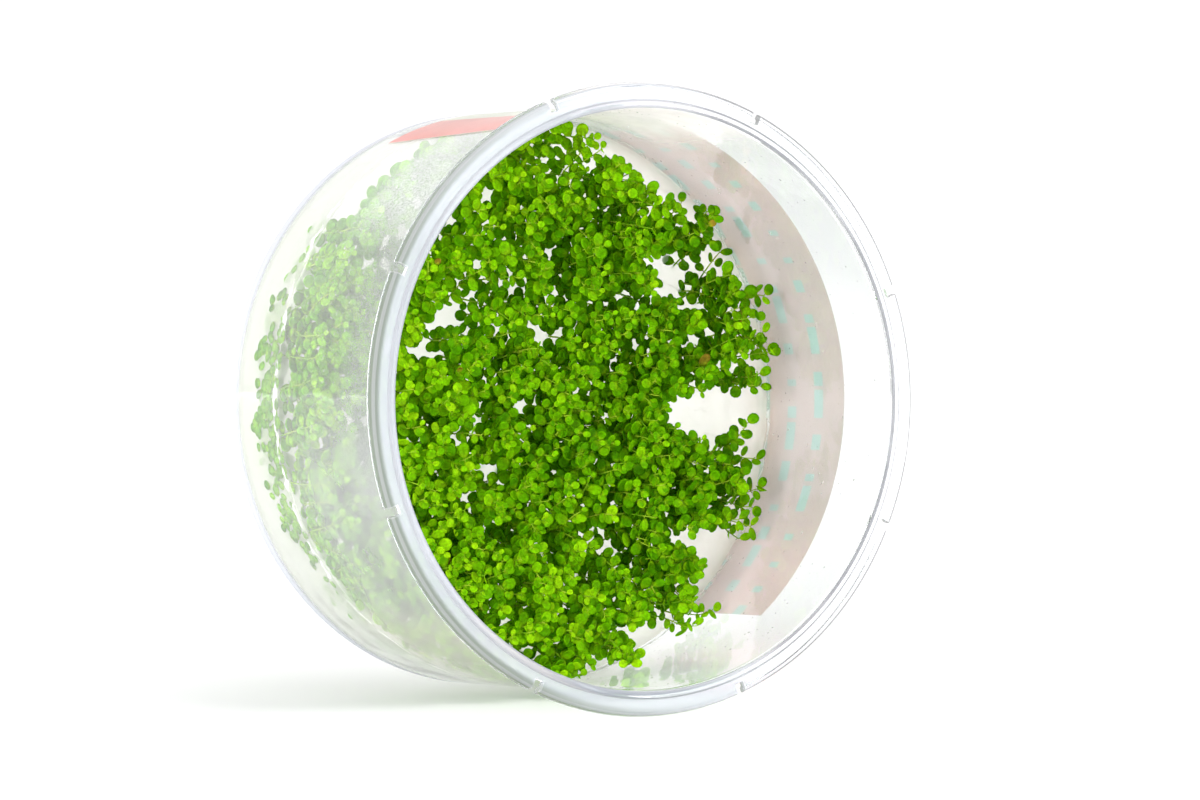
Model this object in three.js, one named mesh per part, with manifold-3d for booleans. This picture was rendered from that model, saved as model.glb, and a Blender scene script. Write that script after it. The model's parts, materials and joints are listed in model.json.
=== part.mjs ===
// A clear culture cup without its lid, lying on its side. A disc of nutrient gel fills its base,
// and clumps of dwarf baby tears stand on the gel as one mat. Units are millimetres, +Z is up.
// Each piece is drawn with the cup upright on its base, along its own axis, and the whole is then
// laid down so that the skirt under the mouth and the edge of the base both touch the ground.
import * as THREE from "three";
import { mergeVertices } from "three/addons/utils/BufferGeometryUtils.js";
import Module from "manifold-3d";

const wasm = await Module();
wasm.setup();

// Cup: heights run from the underside of the base to the lip of the mouth
const cupHeight = 54;
const baseRadius = 46.6;
const baseThickness = 1;
const baseEdgeRadius = 1.6;
const innerCornerRadius = 1.4;
const mouthWallRadius = 46.95;
const wallThickness = 0.8;
const lipRadius = 46.3;
const lipWidth = 1.2;
const lipRound = 0.3;
const flangeRadius = 50;
const flangeThickness = 1.1;
const flangeStep = 0.5;
const skirtHeight = 2.2;
const skirtThickness = 0.8;
const skirtFlare = 0.5;
const notchCount = 8;
const firstNotchAngle = 18;
const notchWidth = 1.5;

// Label: a film round the right-hand side and the top of the wall
const labelStart = -51.8;
const labelEnd = 112.8;
const labelSkew = 5.5;
const labelLow = 8;
const labelHigh = 39.1;
const labelThickness = 0.25;
const labelGap = 0.12;

// Gel: its surface leans, thickest towards the lower right of the lying cup
const gelHeight = 15;
const gelLeanDegrees = 1.6;
const gelThickestAngle = -50;
const meniscusHeight = 1.1;
const meniscusWidth = 2.4;
const clearance = 0.3;

// Plants: clumps of stems in three rings, with one wide gap in the outer ring
const outerRing = { radius: 37.6, count: 13, size: 10.8, height: 12.6, gapAngle: -5, gapWidth: 39 };
const middleRing = { radius: 21.2, count: 7, size: 12.5, height: 13.4, firstAngle: 14 };
const innerRing = { radius: 7.4, count: 3, size: 11, height: 12.6, firstAngle: 50 };
const heightSpread = 0.12;
const unevenness = 1.6;
const lumpiness = 0.05;
const firstSeed = 104729;

// A clump: its cushion's outline as [share of reach, share of height], and its leaves, row by row
const cushionOutline = [
  [0, 0],
  [0.7, 0],
  [0.95, 0.28],
  [0.7, 0.62],
  [0.35, 0.74],
  [0, 0.78],
];
const leafRows = [
  { leaves: 5, share: 0.68, level: 0.56, leanDegrees: 16 },
  { leaves: 3, share: 0.32, level: 0.7, leanDegrees: 40 },
];
const leafRadius = 2.7;
const leafRadiusSpread = 0.24;
const leafThickness = 1;
const leafLeanSpread = 14;
const leafTurnSpread = 0.5;

// Facets: the flats of each round piece lie on its true circle
const sides = 40;
const clumpSides = 8;
const leafSides = 5;
const degree = Math.PI / 180;

// Materials
const clearPlastic = new THREE.MeshStandardMaterial({
  color: "#eef4f6",
  roughness: 0.08,
  metalness: 0,
  transparent: true,
  opacity: 0.35,
});
const printedFilm = new THREE.MeshStandardMaterial({ color: "#e8766c", roughness: 0.4, metalness: 0 });
const nutrientGel = new THREE.MeshStandardMaterial({
  color: "#f4f0dc",
  roughness: 0.25,
  metalness: 0,
  transparent: true,
  opacity: 0.8,
});
const freshLeaf = new THREE.MeshStandardMaterial({ color: "#4f9a12", roughness: 0.55, metalness: 0 });

// A closed geometry as a solid that can be cut and joined
function toSolid(geometry) {
  const bare = geometry.clone();
  bare.deleteAttribute("normal");
  bare.deleteAttribute("uv");
  const merged = mergeVertices(bare, 1e-4);
  return new wasm.Manifold(
    new wasm.Mesh({
      numProp: 3,
      vertProperties: merged.attributes.position.array,
      triVerts: new Uint32Array(merged.index.array),
    }),
  );
}

// A cut or joined solid as a geometry
function toGeometry(solid) {
  const { vertProperties, triVerts } = solid.getMesh();
  const geometry = new THREE.BufferGeometry();
  geometry.setAttribute("position", new THREE.BufferAttribute(vertProperties, 3));
  geometry.setIndex(new THREE.BufferAttribute(triVerts, 1));
  geometry.computeVertexNormals();
  return geometry;
}

// A profile of [radius, height] points turned about +Z, with a flat facing down once the cup lies
function turned(profile) {
  const scale = 1 / Math.cos(Math.PI / sides);
  const points = profile.map(([radius, height]) => new THREE.Vector2(radius * scale, height));
  const geometry = new THREE.LatheGeometry(points, sides, Math.PI / sides);
  return geometry.rotateX(Math.PI / 2);
}

// A quarter arc in the profile's plane, from one angle to another
function arc(centreRadius, centreHeight, radius, fromDegrees, toDegrees, steps) {
  const points = [];
  for (let i = 0; i <= steps; i += 1) {
    const angle = (fromDegrees + ((toDegrees - fromDegrees) * i) / steps) * degree;
    points.push([centreRadius + radius * Math.cos(angle), centreHeight + radius * Math.sin(angle)]);
  }
  return points;
}

// Wall radius at a height, outside or inside
const flangeUnderside = cupHeight - flangeStep - flangeThickness;
function wallRadius(height) {
  const share = (height - baseEdgeRadius) / (flangeUnderside - baseEdgeRadius);
  return baseRadius + (mouthWallRadius - baseRadius) * share;
}
function innerRadius(height) {
  return wallRadius(height) - wallThickness;
}

// A box across the outer edge of the flange and the skirt at one angle
function notchCutter(angleDegrees) {
  const bottom = cupHeight - skirtHeight - 1;
  const height = skirtHeight + 2;
  const cutter = new THREE.BoxGeometry(4 * skirtThickness, notchWidth, height);
  cutter.translate(flangeRadius, 0, bottom + height / 2);
  cutter.rotateZ(angleDegrees * degree);
  return toSolid(cutter);
}

// Base, wall, lip, flange and skirt in one moulding
function cupGeometry() {
  const skirtRadius = flangeRadius + skirtFlare;
  const skirtEdge = cupHeight - skirtHeight;
  const flangeFace = cupHeight - flangeStep;
  const cornerHeight = baseThickness + innerCornerRadius;
  const cornerRadius = innerRadius(cornerHeight) - innerCornerRadius;
  const profile = [
    [0, 0],
    ...arc(baseRadius - baseEdgeRadius, baseEdgeRadius, baseEdgeRadius, -90, 0, 3),
    [mouthWallRadius, flangeUnderside],
    [flangeRadius - skirtThickness, flangeUnderside],
    [skirtRadius - skirtThickness, skirtEdge],
    [skirtRadius, skirtEdge],
    [flangeRadius, flangeFace - lipRound],
    [flangeRadius - lipRound, flangeFace],
    [lipRadius + lipWidth, flangeFace],
    [lipRadius + lipWidth - lipRound, cupHeight - lipRound / 2],
    [lipRadius + lipWidth / 2, cupHeight],
    [lipRadius + lipRound / 2, cupHeight - lipRound],
    [innerRadius(flangeUnderside), flangeUnderside],
    ...arc(cornerRadius, cornerHeight, innerCornerRadius, 0, -90, 2),
    [0, baseThickness],
  ];
  let cup = toSolid(turned(profile));
  for (let i = 0; i < notchCount; i += 1) {
    cup = cup.subtract(notchCutter(firstNotchAngle + (360 / notchCount) * i));
  }
  return toGeometry(cup);
}

// The film follows the wall's facets. Its upper end is cut a little askew
function labelGeometry() {
  const low = wallRadius(labelLow) + labelGap;
  const high = wallRadius(labelHigh) + labelGap;
  const ring = turned([
    [low, labelLow],
    [low + labelThickness, labelLow],
    [high + labelThickness, labelHigh],
    [high, labelHigh],
    [low, labelLow],
  ]);
  const wedge = new THREE.Shape();
  wedge.moveTo(0, 0);
  wedge.absarc(0, 0, flangeRadius * 1.5, labelStart * degree, (labelEnd + 2 * labelSkew) * degree, false);
  const extent = { depth: cupHeight, bevelEnabled: false, curveSegments: 8 };
  const sector = new THREE.ExtrudeGeometry(wedge, extent);
  const trim = new THREE.BoxGeometry(flangeRadius, flangeRadius, 2 * cupHeight);
  trim.translate(flangeRadius, flangeRadius / 2, 0);
  trim.rotateX(labelSkew * degree);
  trim.rotateZ(labelEnd * degree);
  trim.translate(0, 0, (labelLow + labelHigh) / 2);
  const film = toSolid(ring).intersect(toSolid(sector)).subtract(toSolid(trim));
  return toGeometry(film);
}

// How far the leaning gel surface stands above its middle at a point of the cup
function gelRise(x, y) {
  const uphill = x * Math.cos(gelThickestAngle * degree) + y * Math.sin(gelThickestAngle * degree);
  return uphill * Math.tan(gelLeanDegrees * degree);
}

// A disc in the base, with the raised edge of a gel that wets the wall
function gelGeometry() {
  const bottom = baseThickness + clearance;
  const edge = innerRadius(gelHeight) - clearance;
  const cornerRadius = innerRadius(bottom) - clearance - innerCornerRadius;
  const geometry = turned([
    [0, bottom],
    ...arc(cornerRadius, bottom + innerCornerRadius, innerCornerRadius, -90, 0, 2),
    [edge, gelHeight + meniscusHeight],
    [edge - meniscusWidth / 4, gelHeight + meniscusHeight / 3],
    [edge - meniscusWidth, gelHeight],
    [0, gelHeight],
  ]);
  const position = geometry.attributes.position;
  for (let i = 0; i < position.count; i += 1) {
    const height = position.getZ(i);
    if (height > gelHeight / 2) {
      position.setZ(i, height + gelRise(position.getX(i), position.getY(i)));
    }
  }
  return toGeometry(toSolid(geometry));
}

// A repeatable series of numbers from 0 to 1, so that no two clumps are alike
function series(seed) {
  let state = seed;
  return () => {
    state = (state * 1103515245 + 12345) % 2147483648;
    return state / 2147483648;
  };
}

// One round leaf: a flat five-sided lens that faces along a direction
function leafSolid(place, facing, radius) {
  const leaf = new THREE.SphereGeometry(1, leafSides, 2);
  leaf.scale(radius, leafThickness / 2, radius);
  leaf.applyQuaternion(new THREE.Quaternion().setFromUnitVectors(new THREE.Vector3(0, 1, 0), facing));
  leaf.translate(place.x, place.y, place.z);
  return toSolid(leaf);
}

// How far a clump may reach from its own axis in one direction: to its own size, to the line halfway
// to each neighbour, or to the wall, whichever comes first
function reachOf(clump, clumps, angle) {
  const dx = Math.cos(angle);
  const dy = Math.sin(angle);
  const along = clump.x * dx + clump.y * dy;
  const wall = innerRadius(gelHeight) - clearance;
  let reach = Math.sqrt(along ** 2 + wall ** 2 - clump.x ** 2 - clump.y ** 2) - along;
  for (const other of clumps) {
    const towards = (other.x - clump.x) * dx + (other.y - clump.y) * dy;
    if (towards > 0) {
      const apart = Math.hypot(other.x - clump.x, other.y - clump.y);
      reach = Math.min(reach, (apart * (apart - clearance)) / (2 * towards));
    }
  }
  return Math.min(reach, clump.size);
}

// One clump: a crowded cushion of stems that fills its own patch of the mat, narrower at its foot,
// and round leaves that stand out from its shoulder and its top
function clumpGeometry(clump, clumps) {
  const next = series(clump.seed);
  const shares = cushionOutline.map(([share, level]) => new THREE.Vector2(share, level * clump.height));
  const unit = new THREE.LatheGeometry(shares, clumpSides, next() * Math.PI).rotateX(Math.PI / 2);
  unit.deleteAttribute("normal");
  unit.deleteAttribute("uv");
  const cushion = mergeVertices(unit, 1e-4);
  const position = cushion.attributes.position;
  for (let i = 0; i < position.count; i += 1) {
    const x = position.getX(i);
    const y = position.getY(i);
    const reach = reachOf(clump, clumps, Math.atan2(y, x));
    const lump = 1 - lumpiness * next() * Math.hypot(x, y);
    position.setXYZ(i, x * reach * lump, y * reach * lump, position.getZ(i) * (1 - lumpiness * next()));
  }
  let solid = toSolid(cushion);
  for (const { leaves, share, level, leanDegrees } of leafRows) {
    const first = next() * Math.PI * 2;
    for (let i = 0; i < leaves; i += 1) {
      const size = leafRadius * (1 + leafRadiusSpread * (next() - 0.5));
      const around = first + (i * Math.PI * 2) / leaves + leafTurnSpread * (next() - 0.5);
      const tilt = (leanDegrees + leafLeanSpread * (next() - 0.5)) * degree;
      const halfWidth = Math.asin(size / clump.size);
      const reaches = [-halfWidth, 0, halfWidth].map((turn) => reachOf(clump, clumps, around + turn));
      const narrowest = Math.min(...reaches);
      const outward = new THREE.Vector3(Math.cos(around), Math.sin(around), 0);
      const centre = outward.clone().multiplyScalar(Math.min(share * narrowest, narrowest - size));
      centre.z = Math.min(level * clump.height, clump.height - size * Math.sin(tilt));
      const facing = outward.clone().multiplyScalar(Math.sin(tilt));
      facing.z = Math.cos(tilt);
      solid = solid.add(leafSolid(centre, facing.normalize(), size));
    }
  }
  return toGeometry(solid);
}

// Angles of the clumps in a ring: even, or even outside the ring's one gap
function ringAngles({ count, firstAngle, gapAngle, gapWidth }) {
  const angles = [];
  for (let i = 0; i < count; i += 1) {
    const even = firstAngle + (360 / count) * i;
    const besideGap = gapAngle + gapWidth / 2 + ((360 - gapWidth) / (count - 1)) * i;
    angles.push(gapWidth ? besideGap : even);
  }
  return angles;
}

const jar = new THREE.Group();
const lying = new THREE.Group();
jar.add(lying);

// A named mesh in the cup's own frame
function place(name, geometry, material, x = 0, y = 0, z = 0) {
  const mesh = new THREE.Mesh(geometry, material);
  mesh.name = name;
  mesh.position.set(x, y, z);
  lying.add(mesh);
}

place("cup", cupGeometry(), clearPlastic);
place("label", labelGeometry(), printedFilm);
place("gel", gelGeometry(), nutrientGel);

const clumps = [];
for (const ring of [outerRing, middleRing, innerRing]) {
  for (const angle of ringAngles(ring)) {
    const seed = (clumps.length + 1) * firstSeed;
    const next = series(seed);
    const radius = ring.radius - unevenness * next();
    const around = angle * degree + (unevenness * (next() - 0.5)) / ring.radius;
    const x = radius * Math.cos(around);
    const y = radius * Math.sin(around);
    const height = ring.height * (1 + heightSpread * (next() - 0.5));
    clumps.push({ x, y, size: ring.size, height, seed });
  }
}
clumps.forEach((clump, i) => {
  const lean = clump.size * Math.tan(gelLeanDegrees * degree);
  const foot = gelHeight + gelRise(clump.x, clump.y) + lean + clearance;
  const name = `clump_${String(i + 1).padStart(2, "0")}`;
  place(name, clumpGeometry(clump, clumps), freshLeaf, clump.x, clump.y, foot);
});

// Laid down on the skirt's lower edge and the edge of the base, the mouth towards -Y and a little up
const contactLength = cupHeight - skirtHeight - baseEdgeRadius;
const restTilt = Math.atan2(flangeRadius + skirtFlare - baseRadius, contactLength);
lying.rotation.x = Math.PI / 2 - restTilt;

// The origin is the middle of the footprint of the whole, on the ground
const box = new THREE.Box3().setFromObject(jar, true);
const centre = box.getCenter(new THREE.Vector3());
lying.position.set(-centre.x, -centre.y, -box.min.z);

export default jar;
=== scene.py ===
import json
import math

import bpy
import numpy as np
from mathutils import Matrix, Vector


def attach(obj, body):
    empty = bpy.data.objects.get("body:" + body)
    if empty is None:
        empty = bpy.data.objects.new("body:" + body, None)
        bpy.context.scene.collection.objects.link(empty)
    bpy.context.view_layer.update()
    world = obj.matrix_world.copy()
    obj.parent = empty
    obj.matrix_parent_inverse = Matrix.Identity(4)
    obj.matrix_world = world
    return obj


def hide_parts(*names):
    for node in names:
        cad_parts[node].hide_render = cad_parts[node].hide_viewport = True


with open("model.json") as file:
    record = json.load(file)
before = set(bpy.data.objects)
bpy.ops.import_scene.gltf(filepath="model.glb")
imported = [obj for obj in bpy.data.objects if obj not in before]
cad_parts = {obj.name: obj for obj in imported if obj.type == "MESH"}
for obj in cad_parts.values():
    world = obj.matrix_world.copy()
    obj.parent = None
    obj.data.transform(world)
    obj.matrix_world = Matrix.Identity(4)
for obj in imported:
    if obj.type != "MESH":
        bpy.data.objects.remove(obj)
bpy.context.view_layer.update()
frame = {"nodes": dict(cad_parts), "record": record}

mm = 0.001
degree = math.pi / 180
sharpAngle = 40 * degree
chance = np.random.default_rng(7)  # every random choice below draws from this one series


# The cup's own frame: origin in the middle of the base, +Z along the axis to the mouth, +Y up once it lies

baseMount = next(m for m in frame["record"]["mounts"] if m["name"] == "base_face")
towardsMouth = -Vector(baseMount["axis"]).normalized()
sideways = Vector((1, 0, 0))
upwards = towardsMouth.cross(sideways)
cupTurn = Matrix((sideways, upwards, towardsMouth)).transposed()
cupOrigin = Vector(baseMount["pos_m"])
turnArray = np.array(cupTurn)
originArray = np.array(cupOrigin)


def toWorld(points):  # from millimetres in the cup's frame to metres in the world
    return np.asarray(points, float) * mm @ turnArray.T + originArray


def toCup(points):
    return (np.asarray(points, float) - originArray) @ turnArray / mm


def addObject(name, data):
    made = bpy.data.objects.new(name, data)
    bpy.context.scene.collection.objects.link(made)
    return made


def roundAxis(angle):  # the directions away from the cup's axis and round it
    return np.array((math.cos(angle), math.sin(angle), 0)), np.array((-math.sin(angle), math.cos(angle), 0))


def ringOf(count):  # the angles of a ring's corners, the corners, and for each the one that follows it
    here = np.arange(count)
    return here * 2 * math.pi / count, here, (here + 1) % count


def ringFaces(rings, sides, first=0):  # the faces between rings that follow one another
    _, here, following = ringOf(sides)
    low = first + np.arange(rings - 1)[:, None] * sides
    high = low + sides
    return np.stack([low + here, low + following, high + following, high + here], 2).reshape(-1, 4)


def closingFan(sides):
    return np.array([(0, k + 1, k) for k in range(1, sides - 1)])


def holdInside(place, limit):  # the wall keeps it within a radius
    away = math.hypot(place[0], place[1])
    if away > limit:
        place[:2] *= limit / away


# Camera, as the photograph was taken: a long lens, low down and to the left of the mouth

cameraSize = {
    "lens": 240,
    "sensor": 36,
    "azimuth": -31.35,
    "elevation": 5.23,
    "mouthRight": 7.86,  # where the middle of the mouth lies from the picture's middle, mm
    "mouthUp": 0.09,
    "distance": 1268.3,
    "mouthHeight": 54,
    "clip": (0.05, 60),
}


def makeCamera():
    size = cameraSize
    azimuth = size["azimuth"] * degree
    elevation = size["elevation"] * degree
    right = Vector((math.cos(azimuth), math.sin(azimuth), 0))
    level = Vector((-math.sin(azimuth), math.cos(azimuth), 0))
    forward = level * math.cos(elevation) - Vector((0, 0, math.sin(elevation)))
    up = right.cross(forward)
    mouth = Vector(toWorld((0, 0, size["mouthHeight"])))
    data = bpy.data.cameras.new("camera")
    data.lens = size["lens"]
    data.sensor_width = size["sensor"]
    data.clip_start, data.clip_end = size["clip"]
    camera = addObject("camera", data)
    camera.matrix_world = Matrix((right, up, -forward)).transposed().to_4x4()
    offset = right * size["mouthRight"] + up * size["mouthUp"] + forward * size["distance"]
    camera.location = mouth - offset * mm
    bpy.context.scene.camera = camera


makeCamera()
print("camera placed")


# Meshes: every piece is drawn in the cup's frame in millimetres, then stored in world metres


def newPiece(name, points, faces, materials, replaced, materialIndex, creased=True):
    mesh = bpy.data.meshes.new(name)
    corners = [face for group in faces for face in group.tolist()]
    mesh.from_pydata(toWorld(points), [], corners, shade_flat=False)
    for m in materials:
        mesh.materials.append(m)
    mesh.polygons.foreach_set("material_index", np.asarray(materialIndex, np.int32))
    if creased:
        mesh.set_sharp_from_angle(angle=sharpAngle)
    piece = addObject(name, mesh)
    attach(piece, "root")
    if replaced:
        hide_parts(replaced)
    return piece


def rounded(corners, steps=6):  # a profile through corners of [radius, height, rounding]
    profile = []
    for i, (radius, height, rounding) in enumerate(corners):
        here = np.array((radius, height), float)
        if rounding == 0:
            profile.append(here)
            continue
        back = np.array(corners[i - 1][:2]) - here
        ahead = np.array(corners[i + 1][:2]) - here
        back /= np.linalg.norm(back)
        ahead /= np.linalg.norm(ahead)
        half = math.acos(np.clip(back @ ahead, -1, 1)) / 2
        middle = (back + ahead) / np.linalg.norm(back + ahead)
        centre = here + middle * rounding / math.sin(half)
        first = here + back * rounding / math.tan(half) - centre
        last = here + ahead * rounding / math.tan(half) - centre
        start = math.atan2(first[1], first[0])
        sweep = math.atan2(first[0] * last[1] - first[1] * last[0], first @ last)
        for step in range(steps + 1):
            angle = start + sweep * step / steps
            profile.append(centre + rounding * np.array((math.cos(angle), math.sin(angle))))
    return np.array(profile)


def turned(profile, segments):  # a profile that starts and ends on the axis, turned round it
    angles, here, following = ringOf(segments)
    rings = profile[1:-1]
    around = np.stack([np.cos(angles), np.sin(angles)], 1)
    skin = np.concatenate(
        [np.column_stack([around * radius, np.full(segments, height)]) for radius, height in rings]
    )
    points = np.concatenate([[(0, 0, profile[0][1])], skin, [(0, 0, profile[-1][1])]])
    last = 1 + (len(rings) - 1) * segments
    foot = np.column_stack([np.zeros(segments, int), 1 + following, 1 + here])
    top = np.column_stack([last + here, last + following, np.full(segments, len(points) - 1)])
    return points, ringFaces(len(rings), segments, 1), np.concatenate([foot, top])


# Materials: these functions add nodes to one node tree


def newMaterial(name, colour, roughness, **sockets):
    material = bpy.data.materials.new(name)
    material.use_nodes = True
    surface = material.node_tree.nodes["Principled BSDF"]
    surface.inputs["Base Color"].default_value = (*colour, 1)
    surface.inputs["Roughness"].default_value = roughness
    for socket, value in sockets.items():
        surface.inputs[socket.replace("_", " ")].default_value = value
    return material, material.node_tree, surface


def addNode(tree, kind, **settings):
    node = tree.nodes.new("ShaderNode" + kind)
    for name, value in settings.items():
        setattr(node, name, value)
    return node


def feed(tree, value, socket):  # a number or a colour is set, and an output is linked
    if isinstance(value, (int, float)):
        socket.default_value = value
    elif isinstance(value, tuple):
        socket.default_value = (*value, 1)
    else:
        tree.links.new(value, socket)


def calculate(tree, operation, *values):  # one step of arithmetic
    node = addNode(tree, "Math", operation=operation)
    for socket, value in zip(node.inputs, values):
        feed(tree, value, socket)
    return node.outputs[0]


def product(tree, *values):
    total = values[0]
    for value in values[1:]:
        total = calculate(tree, "MULTIPLY", total, value)
    return total


def worldPlace(tree):  # the point in the world's frame, in metres
    return addNode(tree, "TexCoord").outputs["Object"]


def cupPlace(tree):  # the point in the cup's frame, in metres
    mapping = addNode(tree, "Mapping", vector_type="TEXTURE")
    mapping.inputs["Location"].default_value = cupOrigin
    mapping.inputs["Rotation"].default_value = cupTurn.to_euler()
    tree.links.new(worldPlace(tree), mapping.inputs["Vector"])
    return mapping.outputs["Vector"]


def roundAndAlong(tree, place):  # degrees round the cup's axis, millimetres along it
    split = addNode(tree, "SeparateXYZ")
    tree.links.new(place, split.inputs[0])
    turn = calculate(tree, "ARCTAN2", split.outputs["Y"], split.outputs["X"])
    return product(tree, turn, 1 / degree), product(tree, split.outputs["Z"], 1 / mm)


def noisePattern(tree, place, scale, detail):
    noise = addNode(tree, "TexNoise")
    for socket, value in (("Scale", scale), ("Detail", detail), ("Roughness", 0.55)):
        noise.inputs[socket].default_value = value
    tree.links.new(place, noise.inputs["Vector"])
    return noise.outputs["Fac"]


def spread(tree, value, low, high, toLow=0.0, toHigh=1.0):  # a smooth step between two values
    node = addNode(tree, "MapRange", interpolation_type="SMOOTHSTEP")
    for socket, number in zip(("From Min", "From Max", "To Min", "To Max"), (low, high, toLow, toHigh)):
        node.inputs[socket].default_value = number
    tree.links.new(value, node.inputs["Value"])
    return node.outputs["Result"]


def window(tree, value, begins, full, fades, ends):  # a smooth rise and a smooth fall
    return product(tree, spread(tree, value, begins, full), spread(tree, value, ends, fades))


def mottling(tree, place, scale, detail, *levels):  # noise, made stronger between two of its levels
    return spread(tree, noisePattern(tree, place, scale, detail), *levels)


def blendColour(tree, factor, first, second, blendType="MIX"):
    mix = addNode(tree, "Mix", data_type="RGBA", blend_type=blendType)
    for index, value in ((0, factor), (6, first), (7, second)):
        feed(tree, value, mix.inputs[index])
    return mix.outputs[2]


def blendNumber(tree, factor, first, second):
    mix = addNode(tree, "Mix", data_type="FLOAT")
    for index, value in ((0, factor), (2, first), (3, second)):
        feed(tree, value, mix.inputs[index])
    return mix.outputs[0]


def paintMottled(tree, surface, place, noise, first, second):  # two colours in soft patches
    colour = blendColour(tree, mottling(tree, place, *noise), first, second)
    tree.links.new(colour, surface.inputs["Base Color"])


def addBump(tree, surface, place, scale, detail, depth):  # depth in metres
    bump = addNode(tree, "Bump")
    bump.inputs["Distance"].default_value = depth
    bump.inputs["Strength"].default_value = 1
    tree.links.new(noisePattern(tree, place, scale, detail), bump.inputs["Height"])
    tree.links.new(bump.outputs[0], surface.inputs["Normal"])


def mixShaders(tree, share, first, second):
    mix = addNode(tree, "MixShader")
    for socket, value in zip(mix.inputs, (share, first, second)):
        feed(tree, value, socket)
    return mix.outputs[0]


def addVeil(tree, share, colour, below):  # a thin layer of flat colour over a share of the surface, used for mist and for painted light and shade
    veil = addNode(tree, "BsdfDiffuse")
    feed(tree, colour, veil.inputs["Color"])
    return mixShaders(tree, share, below, veil.outputs[0])


def addGlow(tree, share, colour, surface):  # a share of the light comes through from behind
    through = addNode(tree, "BsdfTranslucent")
    feed(tree, colour, through.inputs["Color"])
    return mixShaders(tree, share, surface.outputs[0], through.outputs[0])


def finishMaterial(tree, output, socket="Surface"):
    tree.links.new(output, tree.nodes["Material Output"].inputs[socket])


def letLightThrough(tree, output):  # lamps and soft light pass a clear thin wall unbent
    path = addNode(tree, "LightPath")
    either = calculate(tree, "MAXIMUM", path.outputs["Is Shadow Ray"], path.outputs["Is Diffuse Ray"])
    clear = addNode(tree, "BsdfTransparent")
    finishMaterial(tree, mixShaders(tree, either, output, clear.outputs[0]))


# Gel and cup sizes: the cup is one moulding, with a lip, a flange and a notched skirt round its mouth

gelSize = {
    "height": 15,
    "lean": 1.6,
    "thickestAngle": -50,
    "meniscusHeight": 1.1,
    "meniscusWidth": 2.4,
    "gap": 0.35,
    "segments": 160,
    "ridge": 0.05,
    "unevenness": 0.05,
}

cupSize = {
    "height": 54,
    "baseRadius": 46.6,
    "baseThickness": 1,
    "baseRounding": 1.6,
    "cornerRounding": 1.4,
    "mouthWallRadius": 46.95,
    "wallThickness": 0.8,
    "lipRadius": 46.3,
    "lipWidth": 1.2,
    "lipRounding": 0.42,
    "flangeRadius": 50,
    "flangeThickness": 1.1,
    "flangeStep": 0.5,
    "skirtHeight": 2.2,
    "skirtThickness": 0.8,
    "skirtFlare": 0.5,
    "edgeRounding": 0.3,
    "notches": 8,
    "firstNotchAngle": 18,
    "notchWidth": 1.5,
    "segments": 200,
}
flangeUnderside = cupSize["height"] - cupSize["flangeStep"] - cupSize["flangeThickness"]
notchPitch = 360 / cupSize["notches"]


def wallRadius(height):
    size = cupSize
    share = (height - size["baseRounding"]) / (flangeUnderside - size["baseRounding"])
    return size["baseRadius"] + (size["mouthWallRadius"] - size["baseRadius"]) * share


def innerRadius(height):
    return wallRadius(height) - cupSize["wallThickness"]


# Veils: thin layers of flat colour, each thickest where the stretches of radius, height and angle that it
# names meet.
# Two numbers say where it sets in and is full, and four add where it fades and ends, in mm or degrees

seamAngle = -35  # angles run from here, so that no veil crosses the jump

# Outside, the veils are painted light and shade on the rim and the base, in place of the lines, bands and
# reflections of the clear moulding
rimAndBasePaintedLight = (
    # painted reflection: a bluish-grey band on the flange face, stronger on the left
    {"height": (52.7, 53.3), "masks": ["face"], "colour": (0.50, 0.53, 0.60)},
    # painted shade: a dark grey-green band under the flange, mainly on the left
    {
        "radius": (48.6, 49.6), "height": (52.15, 52.6), "around": (75, 170, 235, 290),
        "share": 0.88, "colour": (0.20, 0.23, 0.19),
    },
    # painted shade: a faint grey line along the flange's outer edge
    {"radius": (49.7, 49.85), "height": (52.9, 53.05), "share": 0.4, "colour": (0.42, 0.42, 0.44)},
    # painted shade: grey lines along the lip, darker on the right
    {"height": (53.35, 53.5), "masks": ["lines"], "colour": (0.36, 0.37, 0.40)},
    {"height": (53.35, 53.5), "masks": ["lines", "right"], "share": 0.48, "colour": (0.05, 0.045, 0.045)},
    # painted shade: a darker line along the flange's outer edge on the right
    {
        "radius": (49.7, 49.85), "height": (53, 53.2), "masks": ["right"],
        "share": 0.6, "colour": (0.05, 0.045, 0.045),
    },
    # painted light: pale grey over the notches, where they would show dark
    {"toNotch": (1.15, 0.95), "radius": (48.2, 48.6), "share": 0.2, "colour": (0.8, 0.8, 0.8)},
    # painted light: pale bluish grey over the rounded edge of the base, where it would show a dark band
    {"radius": (44.0, 45.4), "height": (4.2, 2.4), "share": 0.92, "colour": (0.60, 0.61, 0.66)},
)
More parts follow.
